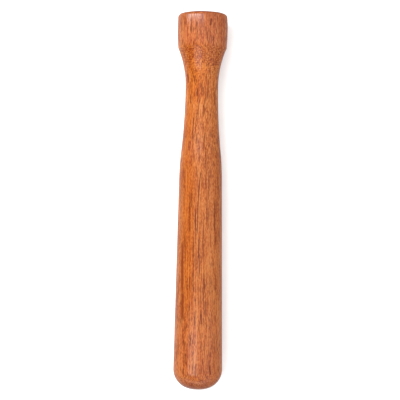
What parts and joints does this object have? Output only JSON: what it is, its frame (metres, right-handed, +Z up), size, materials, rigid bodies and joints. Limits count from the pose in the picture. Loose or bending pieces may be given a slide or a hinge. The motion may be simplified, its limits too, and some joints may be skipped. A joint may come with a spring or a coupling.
{
  "type": "muddler",
  "caption": "Turned wooden muddler shaped like a small bat: a flat-ended knob, a slim neck and a barrel that thickens to a rounded tip.",
  "frame": {"origin": "on the surface that the muddler lies on, under the middle of its length and under its turning axis", "axes": "+Y along the turning axis towards the flat end of the knob, +Z up, +X across"},
  "size_m": [0.0272, 0.2032, 0.0272],
  "materials": {
    "lacquered_hardwood": "reddish-brown hardwood under a clear semi-gloss lacquer, grain along the axis"
  },
  "bodies": {
    "root": {"turned_body": "lacquered_hardwood"}
  },
  "joints": []
}
